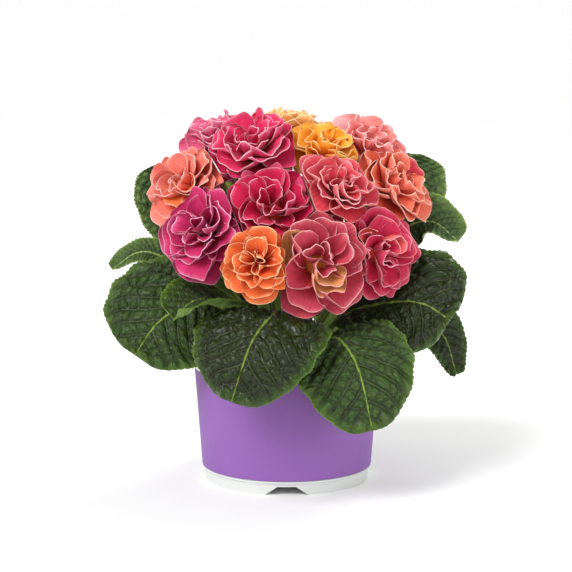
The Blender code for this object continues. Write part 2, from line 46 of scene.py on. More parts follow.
# Pot
SEGMENTS = 160  # round the pot and its sleeve
FOOT_RADIUS = 47.3 * MM
FOOT_THICKNESS = 1.7 * MM
FOOT_DRAFT = 1.1 * MM
FOOT_FLARE = 0.7 * MM
FOOT_TOP = 6.2 * MM
FLOOR_UNDERSIDE = 6.0 * MM
FLOOR_THICKNESS = 1.4 * MM
LABEL_BOTTOM = 8.0 * MM
LABEL_TOP = 65.4 * MM
LABEL_RADIUS = 49.2 * MM
WALL_SLOPE = 0.0758  # how much the radius grows with the height
WALL_THICKNESS = 1.1 * MM
RIM_UNDERSIDE = 72.0 * MM
RIM_RADIUS = 56.3 * MM
POT_HEIGHT = 78.0 * MM
RIM_DRAFT = 0.3 * MM
CHAMFER = 0.8 * MM
GAP = 0.3 * MM
LABEL_THICKNESS = 0.6 * MM
LABEL_RECESS = LABEL_THICKNESS + GAP
FEET = 3
NOTCH_HEIGHT = 4.9 * MM
NOTCH_HALF_WIDTH_LOW = 12.2 * MM
NOTCH_HALF_WIDTH_HIGH = 5.2 * MM
NOTCH_REACH = 6.0 * MM
NOTCH_BELOW = 0.5 * MM  # how far the notches' cutters reach below the foot
DRAIN_HOLES = 6
DRAIN_RADIUS = 3.5 * MM
DRAIN_CIRCLE = 27.0 * MM
DRAIN_CUT = 6.0 * MM  # length of the holes' cutters
DRAIN_SIDES = 24
POT_ROUNDING = 0.2 * MM
LABEL_ROUNDING = 0.15 * MM
POT_SHARP = 35  # angle from which edges stay sharp, in degrees
SEAM = 0.005 * MM  # corners nearer than this become one

# Soil and crown
SOIL_GAP = 0.4 * MM
SOIL_TOP = 66.0 * MM
SOIL_EDGE_DROP = 2.0 * MM
SOIL_RINGS = 40
SOIL_SEGMENTS = 120
MOUND_SHARE = 0.6  # of the radius, where the mound reaches its height
CLOD_SCALE = 160  # clods to the metre, roughly
CLOD_HEIGHT = 1.1 * MM
CRUMBS = 260
CRUMB_SIZES = (0.5, 1.6)  # in mm
CRUMB_REACH = (0.06, 0.86)  # share of the peat's area, from its middle, where crumbs lie
CRUMB_SINK = 0.5 * MM
CRUMB_ROUGHNESS = 900
SOIL_EVEN = 1.0 * MM  # width of the peat's smooth outer edge
SOIL_TOLERANCE = 0.01 * MM
CROWN_RADIUS = 10.0 * MM
CROWN_BOTTOM = 56.0 * MM
CROWN_TOP = 79.0 * MM
CROWN_TAPER = 0.8
CROWN_ROUNDING = 1.0 * MM
CROWN_SEGMENTS = 64
ROOT_GAP = 1.0 * MM
LOW = 69.5 * MM  # height where the outer leaves leave the crown
HIGH = 74.0 * MM  # and the inner leaves

# Flower stalks
STALK_RADIUS = 1.3 * MM
STALK_ROOT_DEPTH = 5.0 * MM
STALK_ROOT_CIRCLE = 0.62  # in crown radii
STALK_BOW = 0.35  # in stalk lengths
STALK_START = (0.3, 0.75)  # outward and up, in bows
CALYX_LENGTH = 9.0 * MM
# Cups as (share of the calyx's length, radius, depth of the ribs).
CALYX = ((0.15, 1.9 * MM, 0.1), (0.35, 2.4 * MM, 0.16), (0.7, 2.85 * MM, 0.18), (1.0, 3.1 * MM, 0.14))
CLOSED_BUD = (
    (0.15, 1.9 * MM, 0.1),
    (0.35, 2.7 * MM, 0.14),
    (0.75, 3.9 * MM, 0.12),
    (1.0, 3.2 * MM, 0.16),
    (1.25, 0.7 * MM, 0.0),
)
STALK_STEPS = 14
STALK_SIDES = 20
CALYX_RIBS = 5

# Leaves
BLADE_THICKNESS = 0.9 * MM
PETIOLE_HALF_WIDTH = 1.9 * MM
PETIOLE_THICKNESS = 2.8 * MM
MIDRIB_DEPTH = 1.5 * MM
PLEATS = 5
PLEAT_HEIGHT = 1.8 * MM
VEIN_SLANT = 0.24  # how far the rows of a blade lean towards its tip at the margins
WIDE_LEAF = 38.0 * MM  # half width of a leaf whose veins lie as far apart as below
BLADE_START = 0.2  # share of the midline where the blade begins
WIDEST = 0.56  # share of the blade where it is widest
BASE_WIDTH = 0.10  # widths of a blade's base and tip, as shares of its widest
TIP_WIDTH = 0.2
BASE_CURVE = 0.85
TIP_CURVE = 2.2
FLARE_SHARE = 0.12  # share of the blade over which the stalk turns into it
ROLL_SHARE = 0.5  # share of the midline over which a leaf takes its roll
MARGIN_THINNING = 0.55
BLADE_THINNING = 0.4
TANGENT_STEP = 0.02
LENGTH_STEPS = 20  # straight pieces that a leaf's length is measured in

# Relief of a leaf. Lengths without MM are in mm along the leaf.
VEIN_PITCH = 9.5  # between side veins, along the midrib
VEIN_RISE = 0.75  # slope of a side vein where it leaves the midrib
VEIN_CURL = 0.2  # how much steeper it is at the margin
VEIN_WAVER = 3.0
VEIN_OFFSET = 0.3  # between the side veins of the two halves, in pitches
LADDER_PITCH = 5.5  # between the small veins that join two side veins
DIAGONAL = 0.7  # along a band, from the places across and ahead together
LADDER_WAVER = 0.9
STAGGER = 0.618  # shift of the small veins from one band to the next
FURROW_WIDTH = 0.7  # of a side vein's and of a small vein's furrow, in half pitches
LADDER_WIDTH = 0.8
BAND_SWELL = 0.25  # share of a blister's height that stays on its small veins
BLISTER_HEIGHT = 1.9 * MM
BLISTER_BASE = 0.3  # share of a blister's height that lies below the plain blade
LUMP_HEIGHT = 0.8 * MM
LUMP_SCALE = 0.34
MIDRIB_TIP = 0.3  # half width of the pale midrib at the tip
MIDRIB_SWELL = 0.75  # how much wider it is at the stem
MIDRIB_SINK = 0.5 * MM
RIB_WIDTH = 1.6  # half width of the thick rib below
MARGIN_SCALLOP = 0.02
TOOTH_PITCH = 2.3
TOOTH_DEPTH = 0.9 * MM
TOOTH_REACH = 12  # power of the distance from the midrib, so that only the margin is toothed
MARGIN_WAVE = 3.5 * MM
LEAF_COLUMNS = 38  # on each side of the midrib, one for each mm of the widest half
NARROW_COLUMNS = 17
COLUMN_EASE = 0.35  # how much closer the columns are at the margins
LEAF_ROWS = 104
PETIOLE_ROWS = 10
PETIOLE_SHARE = 0.25  # length of the stalk before the blade, in blades
TIP_SHARE = 0.992  # where the last row lies

# Blooms
BLOOM_BASE = 0.62  # from a bloom's middle down to its cup, in bloom radii
PRESS = 24.0  # how sharply petals bend at a plane
LOOK_ACROSS = 4  # steps on each side of a midrib, and along it, to find a leaf's nearest point
LOOK_ALONG = 20
CLEARANCE = 0.25 * MM  # between a bloom's petals and the plane to its neighbour
NEIGHBOUR = 1.2  # blooms are neighbours this near to each other, in both their radii
LEAF_NEAR = 1.3  # a leaf this near to a bloom's middle, in bloom radii, holds its petals back
LEAF_CLEARANCE = 1.5 * MM
WRAP = 1.25  # how far round the axis a petal may reach, in radians
NARROWEST = 0.16  # radius below which a petal isn't wrapped any tighter, in bloom radii
ROOT_CIRCLE = 0.10  # where the petals' roots stand, in bloom radii
TIP_ROUNDING = 0.22
NOTCHES = (0.0, 0.05, 0.11)  # depths of the dent in a petal's tip, in petal lengths
NOTCH_WIDTH = 0.28
PETAL_ROOT_WIDTH = 0.14
PETAL_FLARE = 1.6  # how fast a petal widens from its root
SHOULDER = 0.55  # share of a petal's length where it starts to narrow again
SHOULDER_FALL = 0.75
STEPS = 24  # straight pieces of a petal's midline
PETAL_COLUMNS = 20
PETAL_ROWS = 17
PETAL_THICKNESS = 0.4 * MM
CORE_RADIUS = 0.26  # of the ball that closes a bloom's middle, and how deep it sits, in bloom radii
CORE_DEPTH = 0.40
CORE_SIDES = 16
CORE_RINGS = 10
FAR_FROM_MARGIN = 9.0  # margin distance that keeps the core free of pale lines, in mm
TINY = 1e-9

# How much the petals of a bloom differ from each other.
LENGTH_SPREAD = (0.94, 1.06)
WIDTH_SPREAD = (0.92, 1.10)
ROOT_SPREAD = 6  # of the lean at the root, in degrees
LEAN_SPREAD = 10  # of the widest lean and of the tip's turn, in degrees
SHIFT_SPREAD = 0.14  # of a petal's place in its whorl, in radians
SHINGLE = (0.04, 0.12)  # rise of a petal over the next one, in bloom radii
CUP = (0.12, 0.28)  # depth of a petal's hollow, in bloom radii

# Floor, light and camera. Places and sizes are in metres.
FLOOR_REACH = 40.0
WALL_LIGHT = 1.0  # strength of the light near the horizon
SKY_LIGHT = 0.48  # and overhead
LIGHT_FADE = (0.12, 0.45)  # heights in a sky of radius 1 between which it changes
SUN_STRENGTH = 2.4
SUN_WIDTH = math.radians(32)
SUN_SIDE = Vector((-1.0, -1.1, 1.5))  # the way to the sun
LAMPS = {"fill": ((1.4, -1.2, 0.6), 1.0, 8.0), "back": ((0.5, 1.3, 1.3), 0.8, 16.0)}  # place, side, watts
LAMP_TARGET = Vector((0.0, 0.0, 0.12))
CAMERA_PLACE = Vector((-0.0004, -1.1638, 0.2923))
CAMERA_TILT = math.radians(8.81)  # below level
CAMERA_LENS = 128.4
CAMERA_SENSOR = 36.0

# Each leaf: height of its root, points of its midline in mm after the root, half width in mm, roll in
# degrees and how far its margins rise, in half widths.
LEAVES = {
    "front": (LOW, [(-2, -32, 95), (-6, -59, 106), (-19, -85, 94), (-30, -90, 62)], 36, -6, -0.16),
    "front_right": (LOW, [(17, -32, 84), (28, -54, 91), (39, -72, 77), (47, -76, 43)], 34, 20, -0.10),
    "left": (LOW, [(-34, -12, 98), (-53, -19, 105), (-72, -28, 96), (-86, -33, 77)], 40, -47, -0.10),
    "right": (LOW, [(32, -12, 96), (53, -22, 105), (75, -31, 107), (92, -37, 98)], 40, 48, -0.16),
    "right_low": (LOW, [(41, 9, 87), (68, 14, 92), (90, 13, 83), (100, 11, 57)], 16, 60, 0.10),
    "right_curled": (HIGH, [(38, 13, 113), (64, 22, 139), (84, 20, 147), (100, 12, 136)], 18, 45, 0.25),
    "right_upright": (HIGH, [(33, 28, 108), (57, 44, 142), (71, 52, 168), (74, 56, 184)], 26, 50, 0.10),
    "left_upright": (HIGH, [(-34, 23, 108), (-56, 37, 140), (-68, 42, 163), (-70, 45, 179)], 24, -48, 0.10),
    "left_small": (HIGH, [(-40, 9, 104), (-67, 13, 124), (-85, 13, 130), (-102, 10, 120)], 9, -45, 0.30),
    "young": (HIGH, [(-23, -24, 96), (-39, -38, 108), (-51, -54, 112), (-62, -69, 104)], 17, -12, 0.40),
    "back_right": (LOW, [(15, 36, 92), (30, 62, 104), (40, 83, 93), (45, 90, 64)], 33, -6, -0.12),
    "back": (LOW, [(-14, 37, 92), (-26, 63, 105), (-35, 83, 95), (-40, 90, 68)], 33, 6, -0.12),
    "back_left": (LOW, [(-38, 14, 92), (-64, 26, 101), (-84, 34, 93), (-94, 39, 72)], 28, 20, -0.10),
    "back_side": (LOW, [(36, 24, 92), (59, 40, 103), (76, 52, 100), (86, 59, 86)], 20, -20, -0.05),
}

# Leaves that are older or paler than the others.
LEAF_AGES = {
    "front": "old",
    "right": "old",
    "right_low": "old",
    "right_curled": "pale",
    "right_upright": "pale",
    "left_upright": "pale",
    "left_small": "pale",
}

# Each bloom: middle and radius in mm, a nudge to the way it faces and the slot of the record.
BLOOMS = {
    "magenta_back_left": ((-43, 22, 198.5), 23, (0, -0.3, 0), "magenta"),
    "magenta_top": ((-21, -8, 195.5), 27, (0, -0.3, 0), "magenta"),
    "apricot_back": ((0, 36, 205), 20, (0, -0.3, 0), "apricot"),
    "gold": ((22, 1, 193.5), 21, (0, -0.3, 0), "gold"),
    "rose_back_right": ((50, 25, 193), 25, (0, -0.5, 0), "salmon"),
    "coral_right": ((63, 0, 173), 25, (0, -0.4, 0), "salmon"),
    "rose_middle": ((29, -38, 175), 22, (0, 0, 0), "rose"),
    "coral_left": ((-59, -12, 174), 24, (0, -0.4, 0), "salmon"),
    "crimson_middle": ((-9, -42, 164), 27, (0, 0, 0), "crimson"),
    "magenta_left": ((-47, -46, 150), 26, (0, -0.2, 0), "magenta"),
    "orange_front": ((-16, -72, 136), 20, (0, 0, 0), "orange"),
    "rose_front": ((18, -62, 136), 29, (0, 0, 0), "rose"),
    "magenta_right": ((53, -34, 137), 24, (0, -0.3, 0), "crimson"),
    "magenta_back_low": ((-38, 66, 150), 25, (0, 0, 0), "magenta"),
    "orange_back": ((-15, 64, 178), 22, (0, 0, 0), "orange"),
    "crimson_back": ((8, 82, 138), 27, (0, 0, 0), "crimson"),
    "coral_back": ((24, 66, 171), 23, (0, 0, 0), "salmon"),
}
BUDS = [(-34, -18, 172)]  # closed buds between the blooms: where their cups end, in mm
CLUSTER_FOCUS_FRONT = Vector((0.0, 22.0, 112.0)) * MM  # blooms face away from these points
CLUSTER_FOCUS_BACK = Vector((0.0, 4.0, 122.0)) * MM
BACK_STARTS = 30.0 * MM  # blooms behind this plane face away from the second

# Whorls of a bloom, outermost first: number of petals, length and half width in bloom radii, angle from the
# axis at a petal's root and at its widest lean, how far its tip turns back in, height of its root and depth
# of its ruffles in bloom radii, and how far it may twist, in radians.
WHORLS = [
    (5, 1.09, 0.76, 58, 100, 6, -0.46, 0.16, 0.10),
    (5, 1.02, 0.71, 44, 88, 16, -0.45, 0.20, 0.15),
    (5, 0.91, 0.63, 32, 74, 26, -0.43, 0.22, 0.22),
    (3, 0.84, 0.60, 20, 58, 34, -0.41, 0.24, 0.40),
    (3, 0.66, 0.50, 8, 38, 36, -0.38, 0.26, 0.60),
]
PETAL_COUNT = sum(whorl[0] for whorl in WHORLS)

# Leaf colours as sRGB: face, painted shade in the creases, veins, margin and underside, then how rough the
# face is.
LEAF_COLOURS = {
    "old": ((36, 52, 19), (8, 15, 3), (116, 142, 60), (88, 122, 34), (104, 132, 62), 0.24),
    "mid": ((56, 80, 32), (16, 30, 8), (126, 154, 62), (100, 136, 42), (112, 140, 66), 0.38),
    "pale": ((78, 104, 58), (36, 60, 30), (160, 184, 104), (140, 170, 84), (140, 166, 74), 0.4),
}

# Petal colours of each bloom as sRGB: throat (its own colour, darkened with painted shade deep in the
# bloom), middle of the petal, outer part (lightened with painted light at the tips), margin and underside.
PETALS = {
    "magenta_back_left": ((150, 16, 70), (212, 62, 112), (230, 102, 142), (250, 206, 216), (206, 92, 130)),
    "magenta_top": ((84, 14, 24), (202, 18, 72), (226, 52, 104), (248, 190, 204), (190, 52, 96)),
    "apricot_back": ((236, 120, 30), (246, 176, 84), (250, 198, 122), (255, 232, 190), (246, 190, 120)),
    "gold": ((206, 84, 4), (240, 140, 18), (248, 172, 50), (255, 222, 150), (240, 156, 44)),
    "rose_back_right": ((196, 44, 56), (228, 98, 98), (240, 140, 134), (254, 214, 208), (236, 136, 134)),
    "coral_right": ((214, 64, 20), (222, 84, 60), (236, 122, 96), (253, 208, 190), (232, 122, 100)),
    "rose_middle": ((160, 22, 36), (198, 40, 60), (216, 72, 86), (250, 194, 192), (206, 88, 98)),
    "coral_left": ((226, 84, 24), (230, 100, 72), (236, 128, 112), (253, 208, 196), (232, 126, 112)),
    "crimson_middle": ((206, 50, 30), (174, 8, 50), (206, 28, 80), (246, 174, 192), (184, 40, 84)),
    "magenta_left": ((120, 4, 40), (168, 14, 64), (200, 44, 104), (244, 178, 204), (172, 52, 104)),
    "orange_front": ((160, 22, 8), (206, 58, 20), (232, 110, 56), (255, 214, 160), (236, 128, 72)),
    "rose_front": ((204, 120, 40), (180, 40, 56), (192, 66, 84), (246, 184, 184), (184, 70, 84)),
    "magenta_right": ((200, 60, 50), (190, 22, 60), (212, 52, 90), (248, 182, 190), (190, 56, 88)),
    "magenta_back_low": ((110, 6, 46), (170, 18, 76), (196, 50, 110), (242, 176, 206), (180, 56, 112)),
    "orange_back": ((206, 52, 10), (232, 96, 40), (244, 140, 80), (255, 218, 164), (240, 142, 84)),
    "crimson_back": ((200, 50, 30), (180, 14, 58), (204, 40, 88), (246, 174, 190), (188, 44, 90)),
    "coral_back": ((226, 80, 24), (230, 98, 72), (238, 128, 108), (253, 208, 190), (234, 130, 112)),
}

# Petals of another colour: the colour, then (whorl, way it points in degrees as seen from the front).
ODD_PETALS = {
    "rose_front": ((226, 160, 96), ((2, -80), (3, -90), (1, 130))),
    "coral_right": ((186, 22, 62), ((1, 50), (2, 30))),
    "rose_back_right": ((250, 196, 196), ((0, 180), (1, 150))),
    "coral_left": ((240, 132, 60), ((3, -60), (2, -90))),
    "crimson_middle": ((222, 78, 124), ((0, 90), (1, 90), (0, 30))),
    "magenta_right": ((232, 96, 84), ((3, 0), (2, 180))),
}
ODD_NONE = ((255, 255, 255), ())


def linear(colour):
    """A linear RGBA colour from sRGB values of 0 to 255."""
    shares = [value / 255 for value in colour]
    return (*((s / 12.92 if s <= 0.04045 else ((s + 0.055) / 1.055) ** 2.4) for s in shares), 1.0)


class Signal:
    """A shader socket that Python expressions combine into Math nodes."""

    def __init__(self, paint, socket):
        self.paint = paint
        self.socket = socket

    def __add__(self, other):
        return self.paint.math("ADD", self, other)

    def __sub__(self, other):
        return self.paint.math("SUBTRACT", self, other)

    def __rsub__(self, other):
        return self.paint.math("SUBTRACT", other, self)

    def __mul__(self, other):
        return self.paint.math("MULTIPLY", self, other)

    __radd__ = __add__
    __rmul__ = __mul__


class Paint:
    """One procedural material."""

    def __init__(self, name, **constants):
        self.material = bpy.data.materials.new(name)
        self.material.use_nodes = True
        self.tree = self.material.node_tree
        self.shader = self.tree.nodes["Principled BSDF"]
        for socket, value in constants.items():
            self.shader.inputs[socket.replace("_", " ")].default_value = value

    def node(self, kind, settings, sockets):
        """A node of that type with its settings and its sockets' values or links."""
        made = self.tree.nodes.new(kind)
        for name, value in settings.items():
            setattr(made, name, value)
        for key, value in sockets.items():
            if isinstance(value, Signal):
                self.tree.links.new(value.socket, made.inputs[key])
            else:
                made.inputs[key].default_value = value
        return made

    def math(self, operation, *values):
        made = self.node("ShaderNodeMath", {"operation": operation}, dict(enumerate(values)))
        return Signal(self, made.outputs[0])

    def mix(self, share, first, second, blend="MIX"):
        """Two colours mixed by a share from 0 to 1."""
        settings = {"data_type": "RGBA", "blend_type": blend}
        made = self.node("ShaderNodeMix", settings, {0: share, 6: first, 7: second})
        return Signal(self, made.outputs[2])

    def step(self, value, low, high):
        """0 below low, 1 above high, smooth between."""
        settings = {"interpolation_type": "SMOOTHSTEP"}
        made = self.node("ShaderNodeMapRange", settings, {0: value, 1: low, 2: high})
        return Signal(self, made.outputs[0])

    def parts(self, whole):
        """The three parts of a vector."""
        made = self.node("ShaderNodeSeparateXYZ", {}, {0: whole})
        return [Signal(self, output) for output in made.outputs]

    def attribute(self, name):
        """A vertex attribute's three parts."""
        made = self.node("ShaderNodeAttribute", {"attribute_name": name}, {})
        return self.parts(Signal(self, made.outputs["Vector"]))

    def value(self, name):
        """A single vertex value."""
        made = self.node("ShaderNodeAttribute", {"attribute_name": name}, {})
        return Signal(self, made.outputs["Fac"])

    def gap(self, value):
        """0 on a whole number, 1 halfway between two."""
        return self.math("ABSOLUTE", self.math("FRACT", value + 0.5) - 0.5) * 2.0

    def place(self):
        """Object coordinates."""
        made = self.node("ShaderNodeTexCoord", {}, {})
        return Signal(self, made.outputs["Object"])

    def vector(self, x, y, z):
        made = self.node("ShaderNodeCombineXYZ", {}, {0: x, 1: y, 2: z})
        return Signal(self, made.outputs[0])

    def noise(self, where, scale, detail=2.0):
        made = self.node("ShaderNodeTexNoise", {}, {"Vector": where, "Scale": scale, "Detail": detail})
        return Signal(self, made.outputs["Fac"])

    def cells(self, where, scale):
        """Distance to the nearest border between irregular cells."""
        settings = {"feature": "DISTANCE_TO_EDGE"}
        made = self.node("ShaderNodeTexVoronoi", settings, {"Vector": where, "Scale": scale})
        return Signal(self, made.outputs["Distance"])

    def link(self, **signals):
        for name, signal in signals.items():
            self.tree.links.new(signal.socket, self.shader.inputs[name.replace("_", " ")])

    def bump(self, height, distance, strength=1.0):
        sockets = {"Height": height, "Distance": distance, "Strength": strength}
        made = self.node("ShaderNodeBump", {}, sockets)
        self.link(Normal=Signal(self, made.outputs["Normal"]))


def leaf_paint(name, face, crease_shade, vein, margin, under, roughness):
    """Wrinkled leaf: painted shade darkens its creases, pale along its midrib, side veins and margin, paler
    below.
    """
    paint = Paint(name, Specular_IOR_Level=0.3)
    across, ahead, margin_distance = paint.attribute("place")
    band, run, ribs = paint.attribute("form")
    below = paint.value("below")
    where = paint.vector(across, ahead, below * 3.0)
    mottle = paint.noise(where, 0.07, 3.0)
    grain = paint.noise(where, 0.8, 3.0)
    to_vein = paint.gap(band)
    ladder = run + STAGGER * paint.math("FLOOR", band)
    to_ladder = paint.gap(ladder)
    pillow = paint.step(to_vein, 0.0, 0.6) * (0.3 + 0.7 * paint.step(to_ladder, 0.0, 0.7))
    net = paint.step(paint.cells(paint.vector(band * 3.0, ladder * 1.8, below), 1.0), 0.0, 0.22)
    # Painted shade: the creases between the blisters and the small net of cells are painted darker.
    colour = paint.mix(pillow * (0.55 + 0.45 * net) + (grain - 0.5) * 0.3, linear(crease_shade), linear(face))
    light = paint.mix(1.0, colour, (1.5, 1.45, 1.1, 1.0), "MULTIPLY")
    colour = paint.mix(paint.step(mottle, 0.35, 0.7) * 0.6, colour, light)
    open_blade = paint.step(margin_distance, 1.0, 18.0)
    side_vein = (1.0 - paint.step(to_vein, 0.02, 0.11)) * (0.08 + 0.34 * open_blade)
    ladder_vein = (1.0 - paint.step(to_ladder, 0.02, 0.14)) * 0.12
    midrib = 1.0 - paint.step(paint.math("ABSOLUTE", ribs), 0.6, 1.3)
    small = paint.math("MAXIMUM", side_vein * (0.4 + 0.6 * mottle), ladder_vein)
    veins = paint.math("MAXIMUM", midrib, small)
    colour = paint.mix(veins, colour, linear(vein))
    young_edge = 1.0 - paint.step(margin_distance + mottle * 6.0, 2.0, 11.0)
    colour = paint.mix(young_edge * 0.35, colour, linear(margin))
    rim = 1.0 - paint.step(margin_distance + grain * 0.5, 0.4, 1.3)
    colour = paint.mix(rim * 0.8, colour, linear(margin))
    lower = paint.mix(veins * 0.7, linear(under), linear(vein))
    colour = paint.mix(below, colour, lower)
    paint.link(Base_Color=colour, Roughness=roughness + 0.16 * grain + 0.12 * below)
    paint.bump(net * 0.8 + 0.35 * grain, 0.45 * MM, 0.8)
    return paint.material


def petal_paint(name, odd_colour, throat_and_depth_shade, middle, outer_and_tip_light, margin, under):
    """Velvety petal: deep at its throat, its own colour there darkened with painted shade, paler towards
    the tips with painted light, streaked towards the margin, with a thin pale line round it.
    """
    paint = Paint(name, Roughness=0.68, Specular_IOR_Level=0.2, Sheen_Weight=0.12, Sheen_Roughness=0.4)
    across, ahead, margin_distance = paint.attribute("place")
    share, petal, odd = paint.attribute("form")
    below = paint.value("below")
    clouds = paint.noise(paint.vector(across, ahead, petal * 9.0), 0.11, 2.0)
    streaks = paint.noise(paint.vector(across, ahead * 0.09, petal * 9.0), 1.0, 3.0)
    # Painted shade and light: the throat colour is darkened for the shade deep in the bloom, and the outer
    # colour is lightened for the light on the tips.
    colour = paint.mix(paint.step(share + (clouds - 0.5) * 0.5, 0.12, 0.42), linear(throat_and_depth_shade), linear(middle))
    colour = paint.mix(paint.step(share + (clouds - 0.5) * 0.6, 0.35, 0.95), colour, linear(outer_and_tip_light))
    colour = paint.mix(below * 0.7, colour, linear(under))
    colour = paint.mix(odd * 0.85, colour, linear(odd_colour))
    dark = paint.mix(1.0, colour, (0.55, 0.42, 0.5, 1.0), "MULTIPLY")
    colour = paint.mix(paint.step(streaks, 0.52, 0.72) * 0.45, colour, dark)
    edge = 1.0 - paint.step(margin_distance, 0.1, 0.5)
    near = 1.0 - paint.step(margin_distance + streaks * 3.0, 0.8, 4.6)
    colour = paint.mix(near * 0.22, colour, linear(margin))
    colour = paint.mix(edge * 0.9, colour, linear(margin))
    paint.link(Base_Color=colour)
    paint.bump(streaks, 0.25 * MM, 0.5)
    return paint.material


def pot_paint():
    paint = Paint("pot_plastic", Base_Color=linear((213, 215, 213)), Specular_IOR_Level=0.5)
    place = paint.place()
    haze = paint.noise(place, 60.0, 4.0)
    paint.link(Roughness=0.16 + 0.12 * haze)
    paint.bump(paint.noise(place, 900.0, 2.0), 0.02 * MM, 0.3)
    return paint.material


def label_paint():
    """Plain printed sleeve."""
    paint = Paint("printed_sleeve", Specular_IOR_Level=0.25)
    place = paint.place()
    haze = paint.noise(place, 45.0, 3.0)
    colour = paint.mix(haze, linear((137, 92, 165)), linear((143, 98, 170)))
    paint.link(Base_Color=colour, Roughness=0.5 + 0.1 * haze)
    paint.bump(paint.noise(place, 700.0, 2.0), 0.02 * MM, 0.3)
    return paint.material


def soil_paint():
    paint = Paint("peat", Roughness=0.95, Specular_IOR_Level=0.2)
    place = paint.place()
    grains = paint.noise(place, 420.0, 4.0)
    colour = paint.mix(paint.step(grains, 0.3, 0.75), linear((34, 24, 18)), linear((92, 68, 48)))
    paint.link(Base_Color=colour)
    paint.bump(grains, 1.0 * MM, 0.8)
    return paint.material


def stalk_paint():
    """Green stalks that turn paler and faintly red near the crown."""
    paint = Paint("stalk", Roughness=0.5, Specular_IOR_Level=0.4)
    place = paint.place()
    _, _, height = paint.parts(place)
    patches = paint.noise(place, 120.0, 3.0)
    low = 1.0 - paint.step(height, 70 * MM, 105 * MM)
    colour = paint.mix(patches, linear((92, 124, 48)), linear((134, 160, 76)))
    colour = paint.mix(low * 0.5, colour, linear((168, 150, 96)))
    paint.link(Base_Color=colour)
    paint.bump(paint.noise(place, 1500.0, 2.0), 0.08 * MM, 0.6)
    return paint.material


def add(name, data):
    """A new object in the scene."""
    made = bpy.data.objects.new(name, data)
    bpy.context.scene.collection.objects.link(made)
    return made


def face_out(bm):
    """Turns the faces of a closed shape outwards."""
    bmesh.ops.recalc_face_normals(bm, faces=bm.faces)
    if bm.calc_volume(signed=True) < 0:
        bmesh.ops.reverse_faces(bm, faces=bm.faces)


def finish(bm, name, material, nodes=(), sharp=50):
    """Makes the bmesh a smooth-shaded piece that stands for those CAD nodes, if any."""
    mesh = bpy.data.meshes.new(name)
    bm.to_mesh(mesh)
    bm.free()
    mesh.shade_smooth()
    mesh.set_sharp_from_angle(angle=math.radians(sharp))
    piece = add(name, mesh)
    mesh.materials.append(material)
    if nodes:
        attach(piece, "root")
        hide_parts(*nodes)
    return piece


def turn_profile(profile, rounding=0.0, segments=SEGMENTS, closed=False):
    """A solid of revolution round the Z axis from a profile of (radius, height), its corners rounded."""
    bm = bmesh.new()
    corners = [bm.verts.new((radius, 0.0, height)) for radius, height in profile]
    for pair in zip(corners, corners[1:]):
        bm.edges.new(pair)
    if closed:
        bm.edges.new((corners[-1], corners[0]))
    if rounding:
        inner = corners if closed else corners[1:-1]
        bmesh.ops.bevel(
            bm, geom=inner, offset=rounding, segments=3, profile=0.5, affect="VERTICES", material=-1
        )
    geometry = bm.verts[:] + bm.edges[:]
    bmesh.ops.spin(
        bm, geom=geometry, cent=(0, 0, 0), axis=(0, 0, 1), angle=math.tau, steps=segments, use_merge=True
    )
    bmesh.ops.remove_doubles(bm, verts=bm.verts, dist=SEAM)
    face_out(bm)
    return bm


def label_radius(height):
    return LABEL_RADIUS + (height - LABEL_BOTTOM) * WALL_SLOPE


def inner_radius(height):
    return label_radius(height) - LABEL_RECESS - WALL_THICKNESS


def cut(piece, cutter_bm):
    """Cuts the bmesh's shapes out of the piece."""
    mesh = bpy.data.meshes.new("cutter")
    cutter_bm.to_mesh(mesh)
    cutter_bm.free()
    cutter = add("cutter", mesh)
    modifier = piece.modifiers.new("cut", "BOOLEAN")
    modifier.operation = "DIFFERENCE"
    modifier.solver = "EXACT"
    modifier.object = cutter
    graph = bpy.context.evaluated_depsgraph_get()
    result = bpy.data.meshes.new_from_object(piece.evaluated_get(graph))
    piece.modifiers.clear()
    piece.data = result
    bpy.data.objects.remove(cutter)


